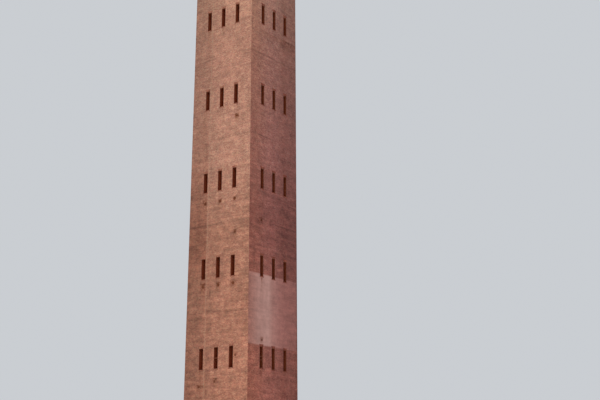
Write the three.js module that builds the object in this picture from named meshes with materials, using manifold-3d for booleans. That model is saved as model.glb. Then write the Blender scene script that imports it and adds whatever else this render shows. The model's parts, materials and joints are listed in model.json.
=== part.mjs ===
// Hydraulic accumulator tower in brick, as a 1:10 scale model of a 94.2 m tower. Millimetres, +Z up.
// The origin is the centre of the foot, on the ground. The front is -Y and the right side +X.
// A square shaft tapers from the ground to an overhanging gallery, with rows of three slits on each side.
// Above the gallery stand a square turret with its own parapet, an eight-sided lantern, a dome and a finial.
import * as THREE from 'three';
import { mergeVertices } from 'three/addons/utils/BufferGeometryUtils.js';
import Module from 'manifold-3d';

// Shaft: 28 ft wide at the ground and 26 ft at the gallery, round a well 20 ft square.
const SHAFT_BASE_WIDTH = 853;
const SHAFT_TAPER = 0.00924;
const WELL = 305;
const LOWER_TOP = 3892;
const SHAFT_TOP = 6560;

// A cutting solid runs this far past the faces that it cuts, and solids that meet keep the joint gap.
const CUT = 20;
const JOINT_GAP = 0.3;

// Slit rows: three slits to a side, on an even storey height.
const STOREY = 946;
const FIRST_ROW = 581;
const ROWS = 7;
const SLIT_WIDTH = 54;
const SLIT_HEIGHT = 218;
const SLIT_PITCH = 200;

// Floors: one under each row of slits, with a stair opening in the back left corner.
const FLOOR_BELOW_ROW = 190;
const FLOOR_THICKNESS = 30;
const STAIR_WIDTH = 120;
const STAIR_LENGTH = 240;

// Doorway in the front, with a pair of doors, a stone surround and a threshold.
const DOOR_HALF_WIDTH = 110;
const DOOR_SPRING = 230;
const DOOR_SILL = 30;
const DOOR_THICKNESS = 9;
const DOOR_RECESS = 34;
const DOOR_ARC_STEPS = 16;
const SURROUND_WIDTH = 30;
const SURROUND_PROUD = 9;
const PLINTH_HALF = 452;
const PLINTH_HEIGHT = 110;
const PLINTH_WEATHERING = 16;
const PLINTH_TOP_SETBACK = 18;
const PLINTH_DOOR_GAP = DOOR_HALF_WIDTH + SURROUND_WIDTH + 2;
const STEP_FRONT = 462;

// Gallery: a corbel table of eight arches to a side, a parapet with merlons, and a deck.
// A corbel's first step starts above the table's foot, and its arch springs at a height over the foot.
const GALLERY_HALF = 486;
const GALLERY_FLOOR = 6840;
const GALLERY_DECK_THICKNESS = 30;
const CORBEL_ROOT = 15;
const CORBEL_ARC_STEPS = 8;
const GALLERY_TABLE = {
  firstStep: 15,
  steps: 4,
  spring: 180,
  bays: 8,
  pitch: 100,
  corbel: 30,
};
const GALLERY_PARAPET = {
  thickness: 35,
  sill: 110,
  top: 170,
  course: 16,
  proud: 8,
  crenels: 9,
  corner: 70,
  crenel: 44,
};

// Turret above the gallery, with the same slits and a doorway on to the deck.
const TURRET_HALF = 290;
const TURRET_WALL = 60;
const TURRET_ROW = 7560;
const TURRET_CORBEL_FOOT = 7900;
const TURRET_ROOF = 8090;
const TURRET_ROOF_THICKNESS = 30;
const TURRET_PARAPET_HALF = 345;
const TURRET_TABLE = {
  firstStep: 12,
  steps: 3,
  spring: 110,
  bays: 6,
  pitch: 94,
  corbel: 26,
};
const TURRET_PARAPET = {
  thickness: 28,
  sill: 95,
  top: 145,
  course: 14,
  proud: 6,
  crenels: 6,
  corner: 66,
  crenel: 44,
};
const TURRET_DOOR_HALF_WIDTH = 40;
const TURRET_DOOR_SPRING = 165;
const TURRET_DOOR_ARC_STEPS = 12;
const HATCH = { x0: -200, x1: -100, y0: 60, y1: 220 };
const ROOF_HATCH_WIDTH = 92;

// Lantern: an eight-sided drum and arcade under a cornice, an ogee dome and a finial.
const DRUM_FLAT = 150;
const ARCADE_FLAT = 140;
const LANTERN_WELL = 110;
const DRUM_TOP = 8330;
const DRUM_DOOR = { halfWidth: 30, height: 165 };
const ARCADE_TOP = 8700;
const ARCADE_SILL = 8350;
const ARCADE_SPRING = 8600;
const ARCADE_HALF_WIDTH = 30;
const ARCADE_ARC_STEPS = 10;
const CORNICE_TOP = 8740;
const CORNICE_FLAT = 166;
const CORNICE_WELL = 96;

// The cornice's moulding from its foot to its top: [set back from its widest, share of its height].
const CORNICE_MOULDING = [[22, 0], [16, 0.35], [0, 0.6], [0, 0.85], [8, 1]];

// The dome swells by a share of its width over its lower part, then sweeps in to a narrow tip.
const DOME_FLAT = 146;
const DOME_TOP = 9110;
const DOME_WALL = 10;
const DOME_STEPS = 14;
const DOME_SWELL = 0.09;
const DOME_SWELL_END = 0.55;
const DOME_SWEEP_POWER = 0.92;
const DOME_TIP = 0.08;
const DOME_HOLLOW = 0.8;
const DOME_APEX = 12;

// The finial's collar below its ball, and its rod, small knop and spike above it: [radius, height].
const FINIAL_TOP = 9420;
const FINIAL_COLLAR = [[15, 0], [15, 8], [8, 20], [6, 34]];
const FINIAL_BALL = { radius: 21, height: 56 };
const FINIAL_ROD = [[5, 78], [4, 160], [9, 168], [9, 176], [4, 184], [3.4, 250], [0.8, 310]];
const FINIAL_SIDES = 16;

const EIGHTH = Math.PI / 8;
const SIDES = ['front', 'right', 'back', 'left'];

const wasm = await Module();
wasm.setup();

const paint = {
  brick: new THREE.MeshStandardMaterial({ color: 0xa6745f, roughness: 0.9, metalness: 0 }),
  stone: new THREE.MeshStandardMaterial({ color: 0xb9ab94, roughness: 0.85, metalness: 0 }),
  floor: new THREE.MeshStandardMaterial({ color: 0x8f8578, roughness: 0.9, metalness: 0 }),
  timber: new THREE.MeshStandardMaterial({ color: 0x3f4a3c, roughness: 0.7, metalness: 0 }),
  lead: new THREE.MeshStandardMaterial({ color: 0x7d8286, roughness: 0.6, metalness: 0.4 }),
  iron: new THREE.MeshStandardMaterial({ color: 0x2c2a29, roughness: 0.5, metalness: 0.8 }),
};

// Half the outside width of the shaft at a height.
const halfAt = (z) => (SHAFT_BASE_WIDTH - SHAFT_TAPER * Math.min(z, SHAFT_TOP)) / 2;
const rowHeight = (row) => FIRST_ROW + row * STOREY;

// A closed three.js geometry as a solid that can be joined and cut.
function solid(geometry) {
  const bare = new THREE.BufferGeometry();
  const source = geometry.index ? geometry.toNonIndexed() : geometry;
  bare.setAttribute('position', source.getAttribute('position').clone());
  const merged = mergeVertices(bare, 1e-4);
  return new wasm.Manifold(new wasm.Mesh({
    numProp: 3,
    vertProperties: new Float32Array(merged.attributes.position.array),
    triVerts: new Uint32Array(merged.index.array),
  }));
}

// A solid back as a three.js geometry.
function geometryOf(made) {
  const mesh = made.getMesh();
  const geometry = new THREE.BufferGeometry();
  geometry.setAttribute('position', new THREE.BufferAttribute(mesh.vertProperties, 3));
  geometry.setIndex(new THREE.BufferAttribute(mesh.triVerts, 1));
  geometry.computeVertexNormals();
  return geometry;
}

function box(x0, x1, y0, y1, z0, z1) {
  const geometry = new THREE.BoxGeometry(x1 - x0, y1 - y0, z1 - z0);
  geometry.translate((x0 + x1) / 2, (y0 + y1) / 2, (z0 + z1) / 2);
  return solid(geometry);
}

// A front wall block whose ends are mitred on the diagonals: inner and outer give its distance
// from the tower's axis, and outer may change from the bottom to the top.
function mitredBlock(inner, outerBottom, outerTop, z0, z1) {
  const geometry = new THREE.BoxGeometry(2, 2, 2);
  const corners = geometry.getAttribute('position');
  for (let i = 0; i < corners.count; i += 1) {
    const top = corners.getZ(i) > 0;
    const outside = corners.getY(i) < 0;
    const outer = top ? outerTop : outerBottom;
    const distance = outside ? outer : inner;
    corners.setXYZ(i, corners.getX(i) * distance, -distance, top ? z1 : z0);
  }
  return solid(geometry);
}

// An arched opening as a shape in the plane of a wall: straight jambs under a half circle.
function archShape(halfWidth, foot, spring, segments) {
  const shape = new THREE.Shape();
  shape.moveTo(-halfWidth, foot);
  shape.lineTo(halfWidth, foot);
  shape.lineTo(halfWidth, spring);
  for (let i = 1; i < segments; i += 1) {
    const angle = (Math.PI * i) / segments;
    shape.lineTo(halfWidth * Math.cos(angle), spring + halfWidth * Math.sin(angle));
  }
  shape.lineTo(-halfWidth, spring);
  return shape;
}

// A shape drawn in x and z, pushed through a front wall from outer to inner distance.
function throughFront(shape, outer, inner) {
  const geometry = new THREE.ExtrudeGeometry(shape, { depth: outer - inner, bevelEnabled: false });
  geometry.rotateX(Math.PI / 2);
  geometry.translate(0, -inner, 0);
  return solid(geometry);
}

function slitCutter(x, z, inner, outer) {
  const half = SLIT_WIDTH / 2;
  return box(x - half, x + half, -outer - CUT, -inner + CUT, z - SLIT_HEIGHT / 2, z + SLIT_HEIGHT / 2);
}

function cutSlits(wall, rowHeights, inner, outer) {
  let cut = wall;
  for (const z of rowHeights) {
    for (const x of [-SLIT_PITCH, 0, SLIT_PITCH]) cut = cut.subtract(slitCutter(x, z, inner, outer));
  }
  return cut;
}

const tower = new THREE.Group();

function add(parent, name, made, material) {
  const mesh = new THREE.Mesh(made.isBufferGeometry ? made : geometryOf(made), paint[material]);
  mesh.name = name;
  parent.add(mesh);
  return mesh;
}

// One front piece set on all four sides, with an exact quarter turn between them.
function addFourSides(name, pieceForSide, material) {
  SIDES.forEach((side, quarter) => {
    const turned = new THREE.Group();
    turned.rotation.z = (quarter * Math.PI) / 2;
    tower.add(turned);
    add(turned, name.replace('SIDE', side), pieceForSide(side), material);
  });
}

// Shaft walls in two lifts. The front of the lower one has the doorway.
function shaftWall(z0, z1) {
  const heights = [];
  for (let row = 0; row < ROWS; row += 1) {
    const z = rowHeight(row);
    if (z > z0 && z < z1) heights.push(z);
  }
  const wall = mitredBlock(WELL, halfAt(z0), halfAt(z1), z0, z1);
  return cutSlits(wall, heights, WELL, halfAt(z0));
}

function lowerWall(side) {
  const wall = shaftWall(0, LOWER_TOP);
  if (side !== 'front') return wall;
  const doorway = archShape(DOOR_HALF_WIDTH, -CUT, DOOR_SPRING, DOOR_ARC_STEPS);
  return wall.subtract(throughFront(doorway, halfAt(0) + CUT, WELL - CUT));
}

addFourSides('lower_SIDE_wall', lowerWall, 'brick');
addFourSides('upper_SIDE_wall', () => shaftWall(LOWER_TOP, SHAFT_TOP), 'brick');

// Stone plinth: a course round the foot with a weathered top, open at the doorway.
function plinth() {
  const inner = halfAt(0) + JOINT_GAP;
  const shoulder = PLINTH_HEIGHT - PLINTH_WEATHERING;
  const side = mitredBlock(inner, PLINTH_HALF, PLINTH_HALF, 0, shoulder)
    .add(mitredBlock(inner, PLINTH_HALF, PLINTH_HALF - PLINTH_TOP_SETBACK, shoulder, PLINTH_HEIGHT));
  let ring = side;
  for (const turn of [90, 180, 270]) ring = ring.add(side.rotate([0, 0, turn]));
  const gap = PLINTH_DOOR_GAP;
  return ring.subtract(box(-gap, gap, -PLINTH_HALF - CUT, -inner + CUT, -CUT, PLINTH_HEIGHT + CUT));
}
add(tower, 'stone_plinth', plinth(), 'stone');

// Floors in the well, each a slab with the stair opening left out of its corner.
function wellFloor(bottom, withStair) {
  const half = WELL - JOINT_GAP;
  const slab = box(-half, half, -half, half, bottom, bottom + FLOOR_THICKNESS);
  if (!withStair) return slab;
  const top = bottom + FLOOR_THICKNESS;
  const left = -half - CUT;
  const back = half + CUT;
  return slab.subtract(box(left, STAIR_WIDTH - half, half - STAIR_LENGTH, back, bottom - CUT, top + CUT));
}
add(tower, 'ground_floor', wellFloor(0, false), 'floor');
for (let row = 0; row < ROWS; row += 1) {
  const top = rowHeight(row) - FLOOR_BELOW_ROW;
  add(tower, `floor_${row + 1}`, wellFloor(top - FLOOR_THICKNESS, true), 'floor');
}

// Doorway: a stone surround that leans with the wall, a threshold and two leaves.
function doorSurround() {
  const outside = archShape(DOOR_HALF_WIDTH + SURROUND_WIDTH, 0, DOOR_SPRING, DOOR_ARC_STEPS);
  const doorway = archShape(DOOR_HALF_WIDTH, -CUT, DOOR_SPRING, DOOR_ARC_STEPS);
  const ring = throughFront(outside, SURROUND_PROUD + JOINT_GAP, JOINT_GAP)
    .subtract(throughFront(doorway, SURROUND_PROUD + CUT, -CUT));
  return ring.warp((vertex) => {
    vertex[1] -= halfAt(vertex[2]);
  });
}

function doorLeaf(hand) {
  const radius = DOOR_HALF_WIDTH - JOINT_GAP;
  const face = halfAt(0) - DOOR_RECESS;
  const arch = archShape(radius, DOOR_SILL + JOINT_GAP, DOOR_SPRING, DOOR_ARC_STEPS);
  const pair = throughFront(arch, face, face - DOOR_THICKNESS);
  const nearEdge = hand * JOINT_GAP;
  const farEdge = hand * (radius + CUT);
  const left = Math.min(nearEdge, farEdge);
  const right = Math.max(nearEdge, farEdge);
  return pair.intersect(box(left, right, -face - CUT, 0, 0, DOOR_SPRING + radius + CUT));
}

add(tower, 'doorway_surround', doorSurround(), 'stone');
add(tower, 'door_leaf_left', doorLeaf(-1), 'timber');
add(tower, 'door_leaf_right', doorLeaf(1), 'timber');
const stepHalf = DOOR_HALF_WIDTH - JOINT_GAP;
add(tower, 'door_step', box(-stepHalf, stepHalf, -STEP_FRONT, -WELL, 0, DOOR_SILL), 'stone');

// A corbel table over a wall: steps that grow outwards from its face, cut into corbels by arched bays.
function corbelTable(table, well, face, outer, foot, top) {
  const { firstStep, steps, spring, bays, pitch, corbel } = table;
  const rooted = face - CORBEL_ROOT;
  const bandBottom = foot + spring;
  const rise = (bandBottom - foot - firstStep) / steps;
  const reach = (outer - face) / steps;
  let courses = mitredBlock(rooted, outer, outer, bandBottom, top);
  for (let step = 0; step < steps; step += 1) {
    const out = face + reach * (step + 1);
    const z0 = foot + firstStep + rise * step;
    courses = courses.add(mitredBlock(rooted, out, out, z0, bandBottom));
  }
  const bayHalf = (pitch - corbel) / 2;
  for (let bay = 0; bay < bays; bay += 1) {
    const x = (bay - (bays - 1) / 2) * pitch;
    const bayShape = archShape(bayHalf, foot - CUT, bandBottom, CORBEL_ARC_STEPS);
    const bayVoid = throughFront(bayShape, outer + CUT, rooted - CUT);
    courses = courses.subtract(bayVoid.translate([x, 0, 0]));
  }
  return courses.add(mitredBlock(well, face, face, foot, top));
}

// A parapet with a projecting foot course, and merlons between crenels.
function parapet(base, outer, form) {
  const inner = outer - form.thickness;
  let wall = mitredBlock(inner, outer, outer, base, base + form.top)
    .add(mitredBlock(inner, outer + form.proud, outer + form.proud, base, base + form.course));
  const run = 2 * (outer - form.corner);
  const merlon = (run - form.crenels * form.crenel) / (form.crenels - 1);
  for (let i = 0; i < form.crenels; i += 1) {
    const x = -run / 2 + i * (form.crenel + merlon);
    const top = base + form.top + CUT;
    wall = wall.subtract(box(x, x + form.crenel, -outer - CUT, -inner + CUT, base + form.sill, top));
  }
  return wall;
}

function galleryCorbels() {
  return corbelTable(GALLERY_TABLE, WELL, halfAt(SHAFT_TOP), GALLERY_HALF, SHAFT_TOP, GALLERY_FLOOR);
}
addFourSides('gallery_corbels_SIDE', galleryCorbels, 'brick');
addFourSides('gallery_parapet_SIDE', () => parapet(GALLERY_FLOOR, GALLERY_HALF, GALLERY_PARAPET), 'brick');

const deckHalf = GALLERY_HALF - GALLERY_PARAPET.thickness - JOINT_GAP;
const deckTop = GALLERY_FLOOR + GALLERY_DECK_THICKNESS;
const galleryDeck = box(-deckHalf, deckHalf, -deckHalf, deckHalf, GALLERY_FLOOR, deckTop)
  .subtract(box(HATCH.x0, HATCH.x1, HATCH.y0, HATCH.y1, GALLERY_FLOOR - CUT, deckTop + CUT));
add(tower, 'gallery_deck', galleryDeck, 'stone');

// Turret walls, with a doorway on to the gallery in front.
const turretWell = TURRET_HALF - TURRET_WALL;
function turretWall(side) {
  const block = mitredBlock(turretWell, TURRET_HALF, TURRET_HALF, deckTop, TURRET_CORBEL_FOOT);
  const wall = cutSlits(block, [TURRET_ROW], turretWell, TURRET_HALF);
  if (side !== 'front') return wall;
  const spring = deckTop + TURRET_DOOR_SPRING;
  const doorway = archShape(TURRET_DOOR_HALF_WIDTH, deckTop - CUT, spring, TURRET_DOOR_ARC_STEPS);
  return wall.subtract(throughFront(doorway, TURRET_HALF + CUT, turretWell - CUT));
}
addFourSides('turret_SIDE_wall', turretWall, 'brick');

function turretHead() {
  const outer = TURRET_PARAPET_HALF;
  return corbelTable(TURRET_TABLE, turretWell, TURRET_HALF, outer, TURRET_CORBEL_FOOT, TURRET_ROOF)
    .add(parapet(TURRET_ROOF, outer, TURRET_PARAPET));
}
addFourSides('turret_parapet_SIDE', turretHead, 'brick');

const roofHalf = TURRET_PARAPET_HALF - TURRET_PARAPET.thickness - JOINT_GAP;
const roofTop = TURRET_ROOF + TURRET_ROOF_THICKNESS;
const roofHatch = new THREE.BoxGeometry(ROOF_HATCH_WIDTH, ROOF_HATCH_WIDTH, TURRET_ROOF_THICKNESS + 2 * CUT);
roofHatch.translate(0, 0, (TURRET_ROOF + roofTop) / 2);
const turretRoof = box(-roofHalf, roofHalf, -roofHalf, roofHalf, TURRET_ROOF, roofTop);
add(tower, 'turret_roof', turretRoof.subtract(solid(roofHatch)), 'stone');

// Eight-sided solids are lathes of eight steps, turned so that flats face the front and sides.
// Profile points are [distance to the flat, height].
function octagonLathe(profile) {
  const points = profile.map(([flat, z]) => new THREE.Vector2(flat / Math.cos(EIGHTH), z));
  const geometry = new THREE.LatheGeometry(points, 8, EIGHTH);
  geometry.rotateX(Math.PI / 2);
  return solid(geometry);
}

function octagonRing(outer, inner, z0, z1) {
  return octagonLathe([[outer, z0], [outer, z1], [inner, z1], [inner, z0], [outer, z0]]);
}

// The drum's doorway is in its back.
function lanternDrum() {
  const half = DRUM_DOOR.halfWidth;
  const doorway = box(-half, half, 0, DRUM_FLAT + CUT, roofTop - CUT, roofTop + DRUM_DOOR.height);
  return octagonRing(DRUM_FLAT, LANTERN_WELL, roofTop, DRUM_TOP).subtract(doorway);
}
add(tower, 'lantern_drum', lanternDrum(), 'brick');

function lanternArcade() {
  let ring = octagonRing(ARCADE_FLAT, LANTERN_WELL, DRUM_TOP, ARCADE_TOP);
  const shape = archShape(ARCADE_HALF_WIDTH, ARCADE_SILL, ARCADE_SPRING, ARCADE_ARC_STEPS);
  const arch = throughFront(shape, ARCADE_FLAT + CUT, LANTERN_WELL - CUT);
  for (let side = 0; side < 8; side += 1) ring = ring.subtract(arch.rotate([0, 0, side * 45]));
  return ring;
}
add(tower, 'lantern_arcade', lanternArcade(), 'brick');

const corniceHeight = CORNICE_TOP - ARCADE_TOP;
add(tower, 'lantern_cornice', octagonLathe([
  [CORNICE_WELL, ARCADE_TOP],
  ...CORNICE_MOULDING.map(([back, share]) => [CORNICE_FLAT - back, ARCADE_TOP + corniceHeight * share]),
  [CORNICE_WELL, CORNICE_TOP],
  [CORNICE_WELL, ARCADE_TOP],
]), 'stone');

// Ogee dome: a shell whose sides swell out over the cornice, then sweep in to the finial.
function domeFlat(share) {
  const swell = DOME_SWELL * Math.sin(Math.PI * Math.min(share / DOME_SWELL_END, 1));
  const sweep = 0.5 + 0.5 * Math.cos(Math.PI * share ** DOME_SWEEP_POWER);
  return DOME_FLAT * (DOME_TIP + (1 - DOME_TIP) * sweep + swell);
}

function dome() {
  const height = DOME_TOP - CORNICE_TOP;
  const inside = [];
  const outside = [];
  for (let i = 0; i <= DOME_STEPS; i += 1) {
    const share = i / DOME_STEPS;
    const insideShare = share * DOME_HOLLOW;
    outside.push([domeFlat(share), CORNICE_TOP + height * share]);
    inside.push([domeFlat(insideShare) - DOME_WALL, CORNICE_TOP + height * insideShare]);
  }
  const apex = CORNICE_TOP + height * DOME_HOLLOW + DOME_APEX;
  return octagonLathe([[0, DOME_TOP], ...outside.reverse(), ...inside, [0, apex]].reverse());
}
add(tower, 'lantern_dome', dome(), 'lead');

// Finial: collar, ball, rod, small ball and spike, turned as one piece.
function finial() {
  const { radius, height } = FINIAL_BALL;
  const ball = [];
  for (let angle = 1; angle < 8; angle += 1) {
    const rise = -Math.PI / 2 + angle * EIGHTH;
    ball.push([radius * Math.cos(rise), height + radius * Math.sin(rise)]);
  }
  const profile = [[0, 0], ...FINIAL_COLLAR, ...ball, ...FINIAL_ROD, [0, FINIAL_TOP - DOME_TOP]];
  const points = profile.map(([r, z]) => new THREE.Vector2(r, DOME_TOP + z));
  const geometry = new THREE.LatheGeometry(points, FINIAL_SIDES);
  geometry.rotateX(Math.PI / 2);
  return solid(geometry);
}
add(tower, 'finial', finial(), 'iron');

export default tower;
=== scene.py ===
# Hydraulic accumulator tower in weathered brick, as a 1:10 scale model. All lengths are metres of the
# model, so a course of bricks, 75 mm on the real tower, is 0.0075 here. +Z is up and the front is -Y.
import json
import math
from types import SimpleNamespace

import bmesh
import bpy
from mathutils import Matrix, Vector


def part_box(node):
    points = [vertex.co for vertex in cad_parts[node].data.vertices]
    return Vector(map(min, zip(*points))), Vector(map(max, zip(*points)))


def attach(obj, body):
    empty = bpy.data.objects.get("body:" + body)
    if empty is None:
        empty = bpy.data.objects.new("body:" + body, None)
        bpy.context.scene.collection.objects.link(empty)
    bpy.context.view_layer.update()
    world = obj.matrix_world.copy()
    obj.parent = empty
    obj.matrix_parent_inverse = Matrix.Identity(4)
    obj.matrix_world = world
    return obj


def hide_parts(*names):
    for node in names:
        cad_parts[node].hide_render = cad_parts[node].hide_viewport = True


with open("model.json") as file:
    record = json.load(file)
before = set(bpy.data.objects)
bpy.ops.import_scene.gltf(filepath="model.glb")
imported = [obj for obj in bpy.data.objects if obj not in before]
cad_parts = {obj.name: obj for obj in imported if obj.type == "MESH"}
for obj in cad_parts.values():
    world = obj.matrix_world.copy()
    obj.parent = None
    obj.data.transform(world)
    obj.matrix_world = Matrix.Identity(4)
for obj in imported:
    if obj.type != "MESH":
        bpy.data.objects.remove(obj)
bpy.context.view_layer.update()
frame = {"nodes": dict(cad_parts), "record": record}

# A millimetre of the real tower
MM = 0.0001

# Brickwork. Dressings are let into the wall by their root, and arrises are sharp edges worn off.
COURSE = 75 * MM
STRETCHER = 225 * MM
HEADER = 102.5 * MM
MORTAR_JOINT = 10 * MM
BEDDING = 3 * MM
ROOT = 30 * MM
BRICK_ARRIS = 3 * MM
STRING_ARRIS = 6 * MM

# The shaft's faces lean in, and rows of three slits stand at an even height on each of them.
FOOT_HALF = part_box("lower_front_wall")[1].x
SHAFT_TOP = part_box("upper_front_wall")[1].z
LEAN = 0.00462
SLIT_ROW = 0.581
STOREY = 0.946
SLIT_ROWS = 7
TURRET_ROW = 7.56
SLIT_PITCH = 0.2
SLIT_WIDTH = 0.054
SLIT_HALF_HEIGHT = 0.109

# Gallery and turret heads: arched corbel tables under parapets with merlons.
GALLERY = SimpleNamespace(
    wall=FOOT_HALF - LEAN * SHAFT_TOP, face=-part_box("gallery_corbels_front")[0].y, foot=SHAFT_TOP,
    floor=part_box("gallery_parapet_front")[0].z, top=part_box("gallery_parapet_front")[1].z,
    spring=0.18, first=0.015, steps=4, bays=8, pitch=0.1, bay_half=0.035,
    thickness=0.035, sill=0.11, crenels=9, crenel=0.044, corner=0.07, proud=0.008,
)
TURRET = SimpleNamespace(
    wall=-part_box("turret_front_wall")[0].y, face=-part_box("turret_parapet_front")[0].y - 0.006,
    foot=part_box("turret_parapet_front")[0].z, floor=8.09, top=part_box("turret_parapet_front")[1].z,
    spring=0.11, first=0.012, steps=3, bays=6, pitch=0.094, bay_half=0.034,
    thickness=0.028, sill=0.095, crenels=6, crenel=0.044, corner=0.066, proud=0.006,
)
TURRET_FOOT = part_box("turret_front_wall")[0].z
TURRET_DOOR_HALF = 0.04
TURRET_DOOR_SPRING = TURRET_FOOT + 0.165
ROOF_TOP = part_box("turret_roof")[1].z

# Doorway and plinth. The surround reaches this far from the middle of the doorway.
DOOR_HALF = 0.11
DOOR_SPRING = 0.23
DOOR_SILL = 0.03
DOOR_FACE = -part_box("door_leaf_left")[0].y
BOARD = DOOR_HALF / 6
SURROUND = DOOR_HALF + 0.03
PLINTH_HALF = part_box("stone_plinth")[1].x
PLINTH_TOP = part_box("stone_plinth")[1].z
PLINTH_SHOULDER = PLINTH_TOP - 0.016
PLINTH_TOP_HALF = PLINTH_HALF - 0.018
PLINTH_DOOR_GAP = 0.142

# Lantern, with eight sides. A flat is the distance from its axis to a side.
ARCADE_FLAT = 0.14
DRUM_FLAT = 0.15
LANTERN_INSIDE = 0.11
ARCADE_HALF = 0.03
ARCADE_SILL = 8.35
ARCADE_SPRING = 8.6
ARCADE_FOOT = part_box("lantern_arcade")[0].z
ARCADE_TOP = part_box("lantern_arcade")[1].z
DOME_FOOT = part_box("lantern_dome")[0].z
DOME_LAPS = (8.815, 8.885, 8.96)

# The lightning conductor, a copper tape, runs up the front, this far to the left of the middle.
CONDUCTOR = -0.155
TAPE_WIDTH = 0.004
TAPE_THICKNESS = 0.0008
TAPE_OFF = TAPE_THICKNESS / 2 + 0.0002

# The photograph's camera, with its focal length in pixels of a 600 pixel wide frame.
PHOTO_CAMERA = (7.318, -8.969, 0.16)
PHOTO_PITCH = 15.16
PHOTO_YAW = 36.17
PHOTO_FOCAL = 1094.3
PHOTO_WIDTH = 600
SENSOR = 36

# Tints of the brick by height, from the ground to 80 m: front and back, then the two sides, whose redder
# tints are painted shade, the colour of brick on a face in shade.
FRONT_SEASONS = [
    (0.15, "#bab0ad"), (0.36, "#b3adab"), (0.46, "#c8cacd"), (0.6, "#c2c2c5"), (0.7, "#c5c9ca"),
    (0.85, "#bcbcbc"),
]
SIDE_SEASONS_AND_SHADE = [
    (0.15, "#c9aaad"), (0.38, "#b59aa3"), (0.47, "#c7b3bd"), (0.6, "#cec2c8"), (0.7, "#d6d5d8"),
    (0.85, "#bcbcbc"),
]

# Tints of the right side across its width, from the front corner to the back one.
RIGHT_TINTS = [
    (0.1, "#bbbbb8"), (0.36, "#b8bbc0"), (0.5, "#b6b7be"), (0.62, "#b4b6bd"), (0.76, "#aeabb0"),
    (0.89, "#b4b4bb"),
]

# How thickly lime salts cover the brick, across half a metre to each side of the middle.
SALTS = [
    (0.08, "#949494"), (0.15, "#b2b2b2"), (0.24, "#e4e4e4"), (0.42, "#fafafa"), (0.49, "#d0d0d0"),
    (0.8, "#a0a0a0"),
]

# Stains on the front and on the right: place along it, top, length, reach to each side, share.
FRONT_STAINS = [
    (-0.2, 5.2, 0.3, 0.014, 0.24), (0, 5.2, 0.18, 0.012, 0.16), (0.222, 4.26, 0.12, 0.008, 0.3),
    (0.222, 4.14, 0.11, 0.019, 0.85), (-0.23, 4.26, 0.5, 0.02, 0.16), (-0.2, 3.24, 0.18, 0.02, 0.45),
    (0.01, 3.22, 0.14, 0.02, 0.45), (0.214, 3.22, 0.1, 0.02, 0.35), (0.222, 2.86, 0.1, 0.017, 0.55),
    (-0.2, 2.33, 0.16, 0.022, 0.6), (0.01, 2.32, 0.11, 0.022, 0.55), (0.208, 2.32, 0.1, 0.026, 0.5),
    (-0.2, 1.42, 0.28, 0.014, 0.25), (-0.006, 1.33, 0.12, 0.018, 0.5), (0.258, 1.58, 0.1, 0.016, 0.45),
    (-0.2, 1.27, 0.08, 0.035, 0.55),
]
RIGHT_STAINS = [
    (-0.2, 2.36, 0.17, 0.008, 0.42), (-0.22, 3, 0.12, 0.022, 0.45), (-0.195, 1.74, 0.1, 0.018, 0.5),
    (-0.2, 1.42, 0.22, 0.014, 0.25), (0.24, 5.14, 0.2, 0.09, 0.42), (-0.06, 5.13, 0.09, 0.11, 0.3),
]


def shaft_half(height):
    """Half the width of the shaft at a height."""
    return FOOT_HALF - LEAN * min(height, SHAFT_TOP)


# Node trees
def linear(hex_colour):
    """A colour as shaders take it, from its sRGB hex value."""
    channels = [int(hex_colour[i:i + 2], 16) / 255 for i in (1, 3, 5)]
    return (*[c / 12.92 if c <= 0.04045 else ((c + 0.055) / 1.055) ** 2.4 for c in channels], 1)


def feed(socket, value):
    """Links a socket to another, or sets it to a plain value or to a colour's sRGB hex value."""
    if isinstance(value, bpy.types.NodeSocket):
        material.node_tree.links.new(value, socket)
    elif isinstance(value, str):
        socket.default_value = linear(value)[:len(socket.default_value)]
    else:
        socket.default_value = value


def add(kind, *values, out=None, ramp=(), **settings):
    """Adds a node to the material begun last, with its settings, feeds its open sockets in their order,
    and gives back an output. Its operation, or what it mixes, may follow its kind. A noise takes a place,
    a scale, detail and roughness, and a range its value, its ends and its new ends."""
    kind, _, operation = kind.partition(" ")
    node = material.node_tree.nodes.new("ShaderNode" + kind)
    if operation:
        setattr(node, "data_type" if kind == "Mix" else "operation", operation)
    for name, value in settings.items():
        setattr(node, name, value)
    for socket, value in zip([socket for socket in node.inputs if socket.enabled], values):
        feed(socket, value)
    if ramp:
        stops = node.color_ramp.elements
        while len(stops) < len(ramp):
            stops.new(0.5)
        for stop, (place, colour) in zip(stops, ramp):
            stop.position = place
            stop.color = linear(colour)
    return next(socket for socket in node.outputs if socket.enabled and out in (None, socket.name))


def wide(size):
    """A pattern's scale, from the width of its features in real millimetres."""
    return 1 / (size * MM)


def stretched(place, *sizes):
    """A pattern's place, from its features' sizes along x, y and z in real millimetres."""
    return add("VectorMath MULTIPLY", place, [wide(size) for size in sizes])


def near(value, centre, reach, soft):
    """1 where a value lies within reach of a centre, fading to 0 over soft."""
    away = add("Math ABSOLUTE", add("Math SUBTRACT", value, centre))
    return add("MapRange", away, reach + soft, reach, interpolation_type="SMOOTHSTEP")


def product(first, *others):
    """The product of several values."""
    for other in others:
        first = add("Math MULTIPLY", first, other)
    return first


def darkened(tone, mask, share=1):
    """A tone with a share of it taken away where a mask is 1."""
    return product(tone, add("Math MULTIPLY_ADD", mask, -share, 1))


def tinted(colour, tint):
    """A colour times a tint, where the tint's middle grey, 0.5, changes nothing."""
    return add("VectorMath MULTIPLY", colour, add("VectorMath SCALE", tint, 2))


def run_off(along, height, stains):
    """Stains that water leaves: full at the top, gone at the foot, with soft sides."""
    stained = 0
    for beside, top, length, reach, share in stains:
        sides = near(along, beside, reach, reach)
        fall = add("MapRange", height, top - length, top)
        stain = product(sides, fall, add("MapRange", height, top, top - 0.012), share)
        stained = add("Math MAXIMUM", stained, stain)
    return stained


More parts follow.
